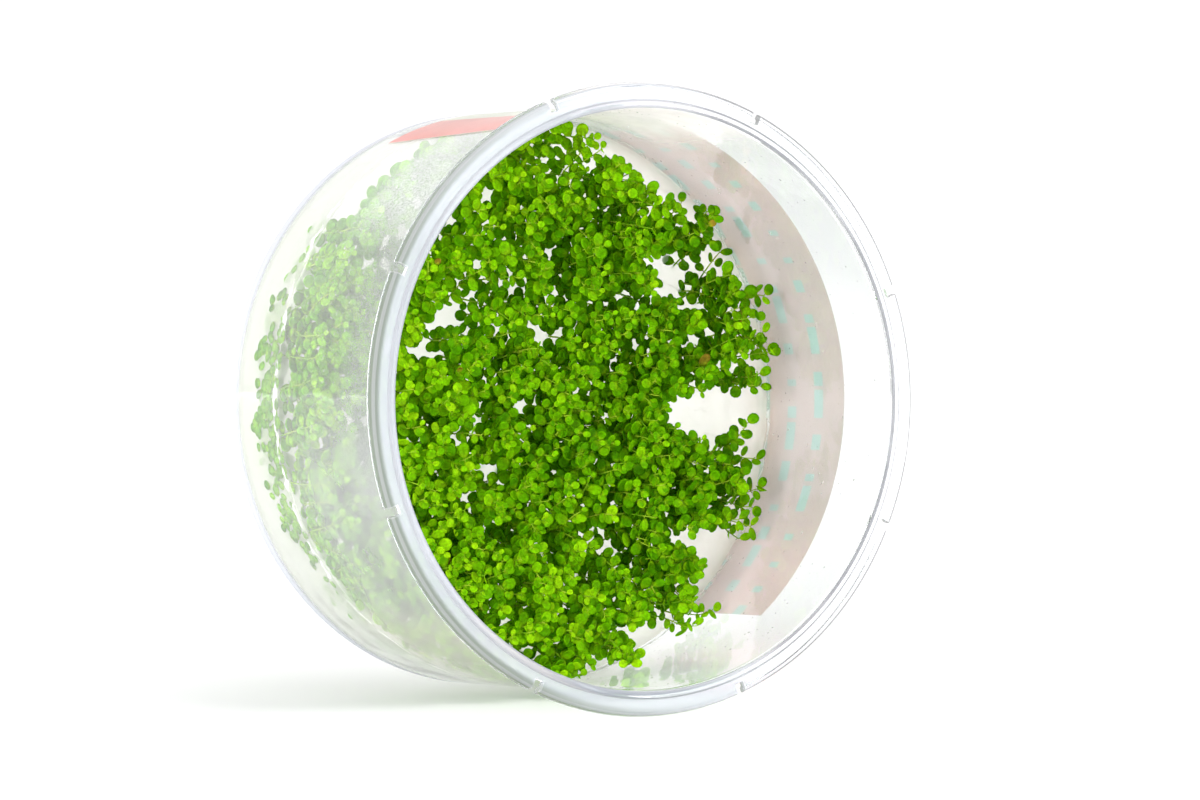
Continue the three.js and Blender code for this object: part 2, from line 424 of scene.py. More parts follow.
# where the painted reflection band and the painted shade lines on the rim lie
rimMasks = {
    "left": (60, 95, 280, 305),
    "faceShares": (0.08, 0.5),  # on the right and on the left
    "innerLine": (46.7, 46.58),
    "outerLine": (47.2, 47.32, 47.6, 47.75),
    "lineShares": (0.35, 0.75),  # where the lines are weakest and strongest
}
insideVeils = (  # mist and fog, a stretch of mist painted dark grey as painted shade, and a painted patch of light at the top
    {
        "around": (125, 150, 215, 235), "height": (8, 13), "masks": ["patches"],
        "share": 0.12, "colour": (0.64, 0.60, 0.57),
    },
    # painted shade: the mist painted dark grey where it lies in shade
    {
        "around": (100, 125, 184, 216), "height": (30, 46), "masks": ["grain", "patches"],
        "share": 0.62, "colour": (0.27, 0.29, 0.27),
    },
    {
        "around": (98, 110, 134, 149), "height": (20, 29), "masks": ["grain", "patches"],
        "share": 0.56, "colour": (0.66, 0.665, 0.66),
    },
    {
        "around": (170, 200, 226, 250), "height": (16, 27), "masks": ["patches"],
        "share": 0.4, "colour": (0.47, 0.46, 0.48),
    },
    {
        "around": (218, 234, 250, 262), "height": (12, 20), "masks": ["patches"],
        "share": 0.22, "colour": (0.9, 0.72, 0.6),
    },
    # painted light: a pinkish-white patch at the top
    {
        "around": (56, 74, 94, 104), "height": (20, 27), "masks": ["patches"],
        "share": 0.95, "colour": (1.0, 0.93, 0.93),
    },
)
gelEdgeHighlight = {  # a painted highlight along the edge of the gel on the wall, mm from the surface of the gel
    "raggedness": 4.2,
    "band": (-1.5, -1.3, -0.9, -0.6),
    "share": 0.9,
    "colour": (0.86, 0.86, 0.84),
}


def clearPlastic(name, roughness):
    material, tree, surface = newMaterial(
        name, (0.98, 0.988, 0.995), roughness, Transmission_Weight=0.985, IOR=1.45
    )
    place = cupPlace(tree)
    addBump(tree, surface, place, 55, 2, 0.0004)  # the slight waviness of a thin moulding
    angle, height = roundAndAlong(tree, place)
    around = calculate(tree, "WRAP", angle, seamAngle + 360, seamAngle)
    return material, tree, surface, place, angle, {"around": around, "height": height}


def layVeils(tree, veils, measures, masks, below):
    for veil in veils:
        shares = [masks[name] for name in veil.get("masks", [])]
        for name, measure in measures.items():
            if name in veil:
                shape = window if len(veil[name]) == 4 else spread
                shares.append(shape(tree, measure, *veil[name]))
        below = addVeil(tree, product(tree, *shares, veil.get("share", 1)), veil["colour"], below)
    return below


def outerPlastic():  # painted light over the edge of the base, and painted reflection and shade on the rim
    material, tree, surface, place, angle, measures = clearPlastic("clear plastic", 0.04)
    flat = addNode(tree, "VectorMath", operation="MULTIPLY")
    flat.inputs[1].default_value = (1 / mm, 1 / mm, 0)
    tree.links.new(place, flat.inputs[0])
    length = addNode(tree, "VectorMath", operation="LENGTH")
    tree.links.new(flat.outputs[0], length.inputs[0])
    radius = length.outputs["Value"]
    fromFirst = calculate(tree, "SUBTRACT", angle, cupSize["firstNotchAngle"])
    fromNotch = calculate(tree, "WRAP", fromFirst, notchPitch / 2, -notchPitch / 2)
    measures |= {"radius": radius, "toNotch": calculate(tree, "ABSOLUTE", fromNotch)}

    left = window(tree, measures["around"], *rimMasks["left"])
    rightShare, leftShare = rimMasks["faceShares"]
    inner = spread(tree, radius, *rimMasks["innerLine"])
    outer = window(tree, radius, *rimMasks["outerLine"])
    uneven = mottling(tree, place, 60, 3, 0.3, 0.6, *rimMasks["lineShares"])
    # masks of the painted light and shade: the reflection band on the flange face, stronger on the left; the
    # uneven shade lines at the lip; the right side alone
    masks = {
        "face": calculate(tree, "MULTIPLY_ADD", left, leftShare - rightShare, rightShare),
        "lines": product(tree, calculate(tree, "MAXIMUM", inner, outer), uneven),
        "right": spread(tree, left, 1, 0),
    }
    letLightThrough(tree, layVeils(tree, rimAndBasePaintedLight, measures, masks, surface.outputs[0]))
    return material


def foggedPlastic():  # the inside of the wall: grains of mist near the mouth, smooth fog lower down, with painted shade on the upper mist, a painted patch of light at the top and a painted highlight along the gel's edge
    material, tree, surface, place, angle, measures = clearPlastic("misted plastic", 0.06)
    masks = {
        "patches": mottling(tree, place, 70, 4, 0.3, 0.7, 0.75, 1.1),
        "grain": mottling(tree, place, 3000, 3, 0.36, 0.64, 0.4, 1.4),
    }
    veiled = layVeils(tree, insideVeils, measures, masks, surface.outputs[0])

    # the painted highlight: a broken white band along the ragged line where the gel meets the wall
    turn = calculate(tree, "SUBTRACT", angle, gelSize["thickestAngle"])
    turn = product(tree, turn, degree)
    lean = wallRadius(gelSize["height"]) * math.tan(gelSize["lean"] * degree)
    rise = product(tree, calculate(tree, "COSINE", turn), lean)
    ragged = product(tree, noisePattern(tree, place, 340, 5), gelEdgeHighlight["raggedness"])
    overGel = measures["height"]
    for lower in (rise, gelSize["height"], ragged):
        overGel = calculate(tree, "SUBTRACT", overGel, lower)
    broken = mottling(tree, place, 260, 2, 0.4, 0.52)
    paintedEdgeHighlight = product(tree, window(tree, overGel, *gelEdgeHighlight["band"]), broken, gelEdgeHighlight["share"])
    letLightThrough(tree, addVeil(tree, paintedEdgeHighlight, gelEdgeHighlight["colour"], veiled))
    return material


def cupProfile():
    size = cupSize
    skirtRadius = size["flangeRadius"] + size["skirtFlare"]
    skirtEdge = size["height"] - size["skirtHeight"]
    flangeFace = size["height"] - size["flangeStep"]
    lipOuter = size["lipRadius"] + size["lipWidth"]
    edge = size["edgeRounding"]
    return rounded([
        (0, 0, 0),
        (size["baseRadius"], 0, size["baseRounding"]),
        (size["mouthWallRadius"], flangeUnderside, edge),
        (size["flangeRadius"] - size["skirtThickness"], flangeUnderside, edge),
        (skirtRadius - size["skirtThickness"], skirtEdge, edge / 2),
        (skirtRadius, skirtEdge, edge),
        (size["flangeRadius"], flangeFace, 1.5 * edge),
        (lipOuter, flangeFace, edge / 2),
        (lipOuter, size["height"], size["lipRounding"]),
        (size["lipRadius"], size["height"], size["lipRounding"]),
        (innerRadius(flangeUnderside), flangeUnderside, 2 * edge),
        (innerRadius(size["baseThickness"]), size["baseThickness"], size["cornerRounding"]),
        (0, size["baseThickness"], 0),
    ])


def notchCutters():
    size = cupSize
    bottom = size["height"] - size["skirtHeight"] - 1
    top = size["height"] + 1
    deep = 2 * size["skirtThickness"]
    wide = size["notchWidth"] / 2
    points = []
    quads = []
    box = np.array([(0, 3, 2, 1), (4, 5, 6, 7), (0, 1, 5, 4), (1, 2, 6, 5), (2, 3, 7, 6), (3, 0, 4, 7)])
    for number in range(size["notches"]):
        outwards, across = roundAxis((size["firstNotchAngle"] + number * notchPitch) * degree)
        quads.append(box + len(points))
        for z in (bottom, top):
            for r, w in ((-deep, -wide), (deep, -wide), (deep, wide), (-deep, wide)):
                points.append(outwards * (size["flangeRadius"] + r) + across * w + np.array((0, 0, z)))
    mesh = bpy.data.meshes.new("notch cutters")
    corners = [Vector(p) for p in toWorld(points)]
    mesh.from_pydata(corners, [], [tuple(q) for q in np.concatenate(quads).tolist()])
    return addObject("notch cutters", mesh)


def makeCup():
    profile = cupProfile()
    segments = cupSize["segments"]
    points, quads, triangles = turned(profile, segments)
    lipTop = int(np.argmax(profile[:, 1]))
    ring = np.repeat(np.arange(1, len(profile) - 2), segments)
    misted = (ring > lipTop + 6) & (ring < len(profile) - 3)  # from below the lip down to the corner
    index = np.concatenate([misted.astype(int), np.zeros(len(triangles), int)])
    materials = [outerPlastic(), foggedPlastic()]
    cup = newPiece("culture_cup", points, [quads, triangles], materials, "cup", index)
    cutters = notchCutters()
    cut = cup.modifiers.new("notches", "BOOLEAN")
    cut.object = cutters
    cut.solver = "EXACT"
    whole = cup.evaluated_get(bpy.context.evaluated_depsgraph_get())
    cutMesh = bpy.data.meshes.new_from_object(whole)
    cup.modifiers.clear()
    cup.data = cutMesh
    cup.data.set_sharp_from_angle(angle=sharpAngle)
    bpy.data.objects.remove(cutters)


makeCup()
print("cup made")


# Label: a printed film round the right side and the top of the wall

labelSize = {
    "start": -51.8,
    "end": 112.8,
    "skew": 5.5,  # of the upper end, in degrees
    "low": 8,
    "high": 39.1,
    "gap": 0.03,
    "thickness": 0.06,
    "columns": 150,
    "rows": 12,
    "panelStart": 69,  # the cream panel runs from here, and the bars end here
    "panelEnd": 101.5,
    "stripeAngles": (72.5, 81),
    "stripeWidth": 3,
    "barHeights": (15.5, 23.5, 31.5),
    "barThickness": 2.6,
    "barPitch": 6.5,  # degrees from one bar to the next
    "barLengths": (0.2, 0.9),  # the shortest and the longest, as shares of the pitch
    "barSeeds": (3, 60, 117),  # each row has bars of other lengths
}
filmColours = {
    "coral": (0.85, 0.185, 0.165),
    "cream": (0.80, 0.76, 0.60),
    "stripe": (0.52, 0.62, 0.33),
    "teal": (0.09, 0.50, 0.42),
}
filmLight = {  # how the film colours the light that comes through it, with painted light by place: warmer over the gel and whiter towards its two ends
    "backColour": (0.71, 0.81, 0.79),
    "share": 0.84,
    "colour": (0.68, 0.775, 0.76),
    "warmHeight": (26, 13),  # painted warm light, over the gel
    "warmShare": 0.8,
    "warmColour": (0.95, 0.94, 0.76),
    "lowAngle": (-18, -42),  # painted whiter light, towards its two ends
    "lowColour": (0.98, 1.0, 1.0),
    "highAngle": (22, 50),
    "highColour": (0.95, 0.98, 0.98),
}


def within(tree, value, middle, width):
    away = calculate(tree, "ABSOLUTE", calculate(tree, "SUBTRACT", value, middle))
    return calculate(tree, "LESS_THAN", away, width / 2)


def labelPrint(tree, angle, height):  # plain bars on a coral ground, and a cream panel with green stripes
    size = labelSize
    cell = calculate(tree, "DIVIDE", angle, size["barPitch"])
    column = calculate(tree, "FLOOR", cell)
    alongBar = calculate(tree, "FRACT", cell)
    bars = 0
    for seed, middle in zip(size["barSeeds"], size["barHeights"]):
        seat = calculate(tree, "ADD", column, seed)
        white = addNode(tree, "TexWhiteNoise", noise_dimensions="1D")
        tree.links.new(seat, white.inputs["W"])
        length = spread(tree, white.outputs["Value"], 0, 1, *size["barLengths"])
        inBar = calculate(tree, "LESS_THAN", alongBar, length)
        bar = product(tree, inBar, within(tree, height, middle, size["barThickness"]))
        bars = calculate(tree, "MAXIMUM", bars, bar)
    bars = product(tree, bars, calculate(tree, "LESS_THAN", angle, size["panelStart"]))
    colour = blendColour(tree, bars, filmColours["coral"], filmColours["teal"])
    panelMiddle = (size["panelStart"] + size["panelEnd"]) / 2
    strips = [(panelMiddle, size["panelEnd"] - size["panelStart"], "cream")]
    strips += [(middle, size["stripeWidth"], "stripe") for middle in size["stripeAngles"]]
    for middle, width, paint in strips:
        colour = blendColour(tree, within(tree, angle, middle, width), colour, filmColours[paint])
    return colour


def filmMaterial(name, glow, paleness, roughness):
    light = filmLight
    material, tree, surface = newMaterial(name, filmColours["coral"], roughness, IOR=1.45)
    place = cupPlace(tree)
    angle, height = roundAndAlong(tree, place)
    colour = labelPrint(tree, angle, height)
    if paleness:
        colour = blendColour(tree, paleness, colour, light["backColour"])
    mottle = mottling(tree, place, 260, 4, 0.3, 0.7, 0.94, 1.0)
    tinted = blendColour(tree, 1, colour, mottle, "MULTIPLY")
    tree.links.new(tinted, surface.inputs["Base Color"])
    addBump(tree, surface, place, 90, 2, 0.0002)
    pale = blendColour(tree, light["share"], tinted, light["colour"])
    # painted light in the glow: warmer over the gel and whiter towards the film's two ends
    warm = product(tree, spread(tree, height, *light["warmHeight"]), light["warmShare"])
    lowEnd = spread(tree, angle, *light["lowAngle"])
    highEnd = spread(tree, angle, *light["highAngle"])
    for share, paint in ((warm, "warmColour"), (lowEnd, "lowColour"), (highEnd, "highColour")):
        pale = blendColour(tree, share, pale, light[paint])
    finishMaterial(tree, addGlow(tree, glow, pale, surface))
    return material


def makeLabel():
    size = labelSize
    shares = np.linspace(0, 1, size["columns"] + 1)
    heights = np.linspace(size["low"], size["high"], size["rows"] + 1)
    middle = (size["low"] + size["high"]) / 2
    points = []
    for lift in (size["gap"], size["gap"] + size["thickness"]):
        for height in heights:
            radius = wallRadius(height) + lift
            end = size["end"] * degree + (middle - height) * math.tan(size["skew"] * degree) / radius
            angles = size["start"] * degree + (end - size["start"] * degree) * shares
            sheetRow = (radius * np.cos(angles), radius * np.sin(angles), np.full(len(angles), height))
            points.append(np.column_stack(sheetRow))
    points = np.concatenate(points)
    across = len(shares)
    sheet = across * len(heights)
    grid = np.arange(sheet).reshape(len(heights), across)
    corners = grid[:-1, :-1].ravel(), grid[:-1, 1:].ravel(), grid[1:, 1:].ravel(), grid[1:, :-1].ravel()
    inner = np.column_stack(corners[::-1])
    outer = np.column_stack(corners) + sheet
    edge = np.concatenate([grid[0, :], grid[1:, -1], grid[-1, -2::-1], grid[-2:0:-1, 0]])
    following = np.roll(edge, -1)
    rim = np.column_stack([edge, following, following + sheet, edge + sheet])
    index = np.concatenate([np.ones(len(inner), int), np.zeros(len(outer), int), np.ones(len(rim), int)])
    front = filmMaterial("printed film", glow=0.3, paleness=0, roughness=0.14)
    back = filmMaterial("back of the film", glow=0.45, paleness=0.82, roughness=0.5)
    newPiece("label_film", points, [inner, outer, rim], [front, back], "label", index)


makeLabel()
print("label made")


# Gel: a cloudy disc that wets the wall, and hair roots in it

def gelRise(x, y):
    size = gelSize
    uphill = x * math.cos(size["thickestAngle"] * degree) + y * math.sin(size["thickestAngle"] * degree)
    return uphill * math.tan(size["lean"] * degree)


def gelMaterial():
    material, tree, surface = newMaterial(
        "nutrient gel", (0.95, 0.94, 0.88), 0.12, Transmission_Weight=0.55, IOR=1.34
    )
    place = cupPlace(tree)
    paintMottled(tree, surface, place, (60, 5, 0.3, 0.75), (1.0, 0.985, 0.94), (0.98, 0.96, 0.87))
    addBump(tree, surface, place, 200, 3, 0.0006)
    absorb = addNode(tree, "VolumeAbsorption")
    absorb.inputs["Color"].default_value = (1.0, 0.98, 0.86, 1)
    absorb.inputs["Density"].default_value = 4
    finishMaterial(tree, absorb.outputs[0], "Volume")
    letLightThrough(tree, addGlow(tree, 0.45, (0.98, 0.975, 0.94), surface))
    return material


def makeGel():
    size = gelSize
    bottom = cupSize["baseThickness"] + size["gap"]
    rounding = cupSize["cornerRounding"]
    edge = innerRadius(size["height"]) - size["gap"]
    meniscus = [
        (edge - size["meniscusWidth"] * share, size["height"] + size["meniscusHeight"] * (1 - share) ** 3)
        for share in np.linspace(0, 1, 9)
    ]
    corner = (innerRadius(bottom) - size["gap"], bottom, rounding)
    foot = rounded([(0, bottom, 0), corner, (edge, size["height"], 0)])
    ridge = (edge - size["ridge"], size["height"] + size["meniscusHeight"] + size["ridge"])
    flat = [(edge * share, size["height"]) for share in (0.8, 0.6, 0.4, 0.2)]
    profile = np.array([*foot[:-1], (edge, meniscus[0][1]), ridge, *meniscus[1:], *flat, (0, size["height"])])
    points, quads, triangles = turned(profile, size["segments"])
    upper = points[:, 2] > size["height"] / 2
    points[upper, 2] += gelRise(points[upper, 0], points[upper, 1])
    surface = (points[:, 2] > size["height"] / 2) & (np.hypot(points[:, 0], points[:, 1]) < edge - 2)
    points[surface, 2] += chance.normal(0, size["unevenness"], surface.sum())
    index = np.zeros(len(quads) + len(triangles), int)
    newPiece("gel_disc", points, [quads, triangles], [gelMaterial()], "gel", index)


def unit(vectors):
    return vectors / np.linalg.norm(vectors, axis=-1, keepdims=True)


def cane(path, radii, sides):  # one closed tube along a path: points, quads and end caps
    path = np.asarray(path, float)
    along = unit(np.gradient(path, axis=0))
    helper = np.array((1.0, 0, 0)) if abs(along[0][0]) < 0.8 else np.array((0, 1.0, 0))
    first = unit(np.cross(along, helper))
    second = np.cross(along, first)
    turns = ringOf(sides)[0]
    offsets = np.cos(turns)[None, :, None] * first[:, None, :]
    offsets = offsets + np.sin(turns)[None, :, None] * second[:, None, :]
    points = (path[:, None, :] + offsets * np.asarray(radii, float)[:, None, None]).reshape(-1, 3)
    fan = closingFan(sides)
    last = (len(path) - 1) * sides
    caps = np.concatenate([fan, last + fan[:, ::-1]])
    return points, ringFaces(len(path), sides), caps


class Bundle:  # gathers many small meshes into one
    def __init__(self):
        self.count = 0
        self.points = []
        self.faces = [], []  # with four corners and with three
        self.materials = [], []
        self.values = {"tone": [], "edge": [], "outward": []}

    def add(self, points, quads, triangles, material, tone, edge=0, outward=1):
        self.points.append(points)
        for faces, materials, added in zip(self.faces, self.materials, (quads, triangles)):
            faces.append(added + self.count)
            materials.append(np.full(len(added), material))
        for values, added in zip(self.values.values(), (tone, edge, outward)):
            values.append(np.broadcast_to(added, len(points)))
        self.count += len(points)

    def addCane(self, path, radii, sides, material, tone):
        self.add(*cane(path, radii, sides), material, tone)

    def piece(self, name, materials, slot, replaced):
        points = np.concatenate(self.points)
        faces = [np.concatenate(group) for group in self.faces]
        index = np.concatenate(self.materials[0] + self.materials[1])
        made = newPiece(name, points, faces, materials, replaced, index, creased=False)
        for label, values in self.values.items():
            attribute = made.data.attributes.new(label, "FLOAT", "POINT")
            attribute.data.foreach_set("value", np.concatenate(values).astype(np.float32))
        return made


rootSize = {
    "count": 420,
    "radius": 0.07,
    "steps": 9,
    "stepLengths": (0.6, 1.45),
    "reach": 44.8,  # from the axis, where they start
    "limit": 45.2,  # and where they are held back by the wall
    "depth": 0.6,
    "lowest": 2.2,
}


def rootMaterial():
    material, tree, surface = newMaterial("hair root", (0.82, 0.80, 0.66), 0.5, IOR=1.4)
    paintMottled(tree, surface, cupPlace(tree), (400, 2, 0.3, 0.7), (0.88, 0.87, 0.76), (0.66, 0.66, 0.45))
    return material


def makeRoots():
    size = rootSize
    bundle = Bundle()
    for _ in range(size["count"]):
        radius = size["reach"] * math.sqrt(chance.uniform(0.02, 1))
        angle = chance.uniform(0, 2 * math.pi)
        x, y = radius * math.cos(angle), radius * math.sin(angle)
        top = gelSize["height"] + gelRise(x, y) - size["depth"]
        place = np.array((x, y, top))
        heading = np.array((chance.normal(0, 0.5), chance.normal(0, 0.5), -1.0))
        step = chance.uniform(*size["stepLengths"])
        path = [place]
        for _ in range(size["steps"]):
            heading = unit(heading + chance.normal(0, 0.32, 3))
            place = place + heading * step
            holdInside(place, size["limit"])
            place[2] = min(max(place[2], size["lowest"]), top)
            path.append(place)
        radii = size["radius"] * np.linspace(1, 0.45, len(path)) * chance.uniform(0.7, 1.4)
        bundle.addCane(path, radii, 4, 0, chance.uniform())
    bundle.piece("hair_roots", [rootMaterial()], "nutrient_gel", None)


makeGel()
makeRoots()
print("gel and roots made")


# Plants: short stems that rise from the gel, with pairs of small round leaves, each pair across the last

plantSize = {
    "spacing": 2.28,  # between neighbouring stems on the gel
    "sparseSpacing": 3.3,
    "sparsePatch": (-16, 18, 14),  # x, y and radius of the thinner growth at the upper left
    "attempts": 30000,
    "reachAngles": (-180, -95, -80, -65, -50, -30, -17, 0, 40, 55, 75, 90, 105, 115, 135, 150, 180),
    "reaches": (44, 43.5, 41.5, 40, 37.5, 37.2, 39, 37, 37.9, 36, 37.6, 42.2, 42.5, 41, 41.5, 44, 44),
    "rootedDepth": 0.8,
    "embeddedDepth": 8,  # how deep in the gel the stems beside the left wall start
    "embeddedRadius": 41.5,
    "stemRadius": 0.16,
    "stemLean": 12,
    "stemWander": 0.11,
    "stemRise": (0, 0, 0.06),  # what turns a stem upwards again, at each node
    "stemGap": 1.2,  # between the wall and the stems, the leaf stalks and the leaves
    "stalkGap": 0.45,
    "leafGap": 0.4,
    "flatDistance": 0.9,
    "wallLean": 0.25,
    "mostNodes": 20,
    "nodeSpacing": 1.6,
    "runners": 46,  # long stems with few leaves, over the right edge of the mat
    "runnerAngles": (-62, 80),
    "runnerSetback": (1, 4),
    "runnerHeights": (0, 5),
    "runnerRises": (0.5, 1.4),
    "runnerReach": 43.4,
    "runnerNodeSpacing": 2.1,
    "petioleRadius": 0.1,
    "petioleLength": 0.24,
    "leafLength": 2.2,
    "leafLengths": (0.8, 2.6),  # the shortest and the longest
    "leafSpread": 0.13,
    "leafSegments": 12,
    "leafThickness": 0.09,  # as a share of the leaf's length
    "leafCup": 0.1,
    "leafTilt": 7,
    "tipTilts": (20, 8, 0),  # more tilt for the youngest pairs, from the tip down
    "tipSizes": (0.55, 0.85, 0.97, 1.0),
    "outerTipSize": 0.9,  # on the open side of the mat
    "missingLeaves": 0.04,
    "brownLeaves": 0.0015,
    "hollows": (  # x, y, width and depth of the dips in the mat
        (-10.8, -10.6, 4.2, 7.5),
        (-16.5, -15.4, 3, 4.5),
        (7.6, -2.2, 3.4, 4.5),
        (0.5, -17.9, 3.2, 4.5),
        (5, 25, 3.2, 4),
        (-2, 8, 3, 3.5),
    ),
    "barePatches": (  # x, y, and half widths along x and y
        (35, -4, 12.5, 5.6),
        (25.6, 16.6, 4.9, 5.8),
        (-9.5, -3.2, 4.6, 2.2),
        (-27.5, 21, 3.4, 1.7),
        (-24, 12.5, 1.8, 2.6),
        (-31, 6, 1.6, 2.4),
        (13.5, 24, 2.6, 1.7),
        (11, -26, 2.4, 1.7),
        (19, -17.5, 1.8, 2.2),
        (-12, 33.5, 2.8, 1.5),
        (26.5, -24, 4.2, 3.2),
        (16, -29, 1.8, 2.4),
    ),
}

pressedSize = {
    "sprigs": 58,
    "middleAngle": 183,
    "angleSpread": 17,
    "angleRange": (150, 228),
    "depth": 3.4,  # below the surface of the gel
    "lowest": 4,
    "leafLength": 1.9,
    "gap": 0.2,
}


def leafMaterial():
    material, tree, surface = newMaterial(
        "round leaf", (0.12, 0.36, 0.002), 0.4, IOR=1.4, Specular_IOR_Level=0.05
    )
    tone, edge, outward = (
        addNode(tree, "Attribute", attribute_name=name).outputs["Fac"] for name in ("tone", "edge", "outward")
    )
    ramp = addNode(tree, "ValToRGB")
    stops = ramp.color_ramp.elements
    stops[0].position, stops[0].color = 0.0, (0.06, 0.24, 0.0004, 1)
    stops[1].position, stops[1].color = 0.93, (0.47, 0.85, 0.006, 1)
    for position, colour in (
        (0.35, (0.14, 0.46, 0.0008, 1)),
        (0.7, (0.29, 0.70, 0.002, 1)),
        (0.985, (0.45, 0.30, 0.03, 1)),
    ):
        stops.new(position).color = colour
    tree.links.new(tone, ramp.inputs[0])
    place = worldPlace(tree)
    mottle = mottling(tree, place, 2300, 3, 0.3, 0.7, 0.76, 1.2)
    # mottling, with painted light on the leaf rims and painted shade towards the middle
    shade = product(tree, mottle, spread(tree, edge, 0.5, 0.95, 0.9, 1.12))
    nearStalk = spread(tree, outward, 0.5, 0.05, 0.0, 0.6)
    blade = blendColour(tree, nearStalk, ramp.outputs[0], (0.46, 0.74, 0.01))
    shaded = blendColour(tree, 1, blade, shade, "MULTIPLY")
    tree.links.new(shaded, surface.inputs["Base Color"])
    addBump(tree, surface, place, 2600, 2, 0.0001)
    glow = blendColour(tree, 0.4, shaded, (0.5, 0.80, 0.003))
    finishMaterial(tree, addGlow(tree, 0.42, glow, surface))
    return material


def stemMaterial():
    material, tree, surface = newMaterial("stem", (0.3, 0.45, 0.02), 0.5, IOR=1.4, Specular_IOR_Level=0.15)
    noise = (300, 3, 0.35, 0.65)
    paintMottled(tree, surface, worldPlace(tree), noise, (0.17, 0.40, 0.006), (0.38, 0.54, 0.03))
    return material


def leafForm():  # a round blade from 0 to 1 along +X: points, how far each is cupped and outwards, and faces
    segments = plantSize["leafSegments"]
    half = plantSize["leafThickness"] / 2
    turns, here, following = ringOf(segments)
    rim = np.column_stack([0.5 + 0.5 * np.cos(turns), 0.47 * np.sin(turns) * (1 + 0.08 * np.cos(turns))])
    middle = np.array((0.5, 0.0))
    inner = middle + (rim - middle) * 0.6
    flat = np.concatenate([[middle], inner, rim, [middle]])
    thick = np.concatenate([[half], np.full(segments, half * 0.85), np.zeros(segments), [-half]])
    outwards = np.linalg.norm(flat - middle, axis=1) * 2
    here, following = here + 1, following + 1
    rimHere, rimFollowing = here + segments, following + segments
    top = np.column_stack([np.zeros(segments, int), here, following])
    band = np.column_stack([here, rimHere, rimFollowing, following])
    underside = np.column_stack([np.full(segments, len(flat) - 1), rimFollowing, rimHere])
    cupping = np.column_stack([np.zeros((len(flat), 2)), outwards**2 + 0.35 * np.abs(flat[:, 1])])
    return np.column_stack([flat, thick]), cupping, outwards, band, np.concatenate([top, underside])


def easeBetween(value, low, high):
    share = min(max((value - low) / (high - low), 0), 1)
    return share * share * (3 - 2 * share)


def matReach(angle):  # how far from the axis stems stand, in one direction
    size = plantSize
    turn = (angle / degree + 180) % 360 - 180
    return float(np.interp(turn, size["reachAngles"], size["reaches"]))


def isBare(x, y):
    for middleX, middleY, halfX, halfY in plantSize["barePatches"]:
        if ((x - middleX) / halfX) ** 2 + ((y - middleY) / halfY) ** 2 < 1:
            return True
    return False


def scatterStems():  # stems at least a spacing apart, with none in the bare patches
    size = plantSize
    middleX, middleY, width = size["sparsePatch"]
    kept = np.empty((0, 2))
    for _ in range(size["attempts"]):
        radius = max(size["reaches"]) * math.sqrt(chance.uniform())
        angle = chance.uniform(0, 2 * math.pi)
        spot = np.array((radius * math.cos(angle), radius * math.sin(angle)))
        if radius > matReach(angle) or isBare(*spot):
            continue
        sparse = math.exp(-((spot[0] - middleX) ** 2 + (spot[1] - middleY) ** 2) / width**2)
        spacing = size["spacing"] + (size["sparseSpacing"] - size["spacing"]) * sparse
        if len(kept) and np.min(np.hypot(*(kept - spot).T)) < spacing:
            continue
        kept = np.vstack([kept, spot])
    return kept


def growStem(x, y, top, wall):  # nodes from the gel up to a height, leaning out a little beside the wall
    size = plantSize
    place = np.array((x, y, gelSize["height"] + gelRise(x, y) - size["rootedDepth"]))
    radius = math.hypot(x, y)
    if radius > size["embeddedRadius"] and x < 0:
        place[2] -= size["embeddedDepth"] * chance.uniform()
    outwards = np.array((x, y, 0)) / max(radius, 1)
    lean = np.tan(size["stemLean"] * degree)
    heading = np.append(chance.normal(0, lean, 2), 1) + outwards * size["wallLean"] * (radius / wall) ** 3
    path = [place]
    while place[2] < top and len(path) < size["mostNodes"]:
        heading = unit(heading + chance.normal(0, size["stemWander"], 3) + size["stemRise"])
        place = place + heading * size["nodeSpacing"] * chance.uniform(0.8, 1.2)
        holdInside(place, wall - size["stemGap"])
        path.append(place)
    return np.array(path)


def growRunner(angle):  # a long stem that leans out over the bare gel towards the wall
    size = plantSize
    radius = matReach(angle) - chance.uniform(*size["runnerSetback"])
    outwards = roundAxis(angle)[0]
    place = outwards * radius
    place[2] = gelSize["height"] + gelRise(place[0], place[1]) + chance.uniform(*size["runnerHeights"])
    heading = unit(outwards + (0, 0, chance.uniform(*size["runnerRises"])) + chance.normal(0, 0.2, 3))
    path = [place]
    for _ in range(chance.integers(3, 6)):
        heading = unit(heading + chance.normal(0, 0.16, 3) + (0, 0, 0.12))
        place = place + heading * size["runnerNodeSpacing"] * chance.uniform(0.8, 1.15)
        if math.hypot(place[0], place[1]) > size["runnerReach"]:
            break
        path.append(place)
    return np.array(path)


def paintedLightByPlace(x, y):  # painted light and shade by place: leaves lighter at the left, the top and the bottom of the mat, darker at the right
    paintedShadeRight = 0.45 * easeBetween(x, 6, 22)
    return max(easeBetween(-x, 4, 30), 1.2 * easeBetween(y, 20, 40), 0.8 * easeBetween(-y, 18, 40)) - paintedShadeRight


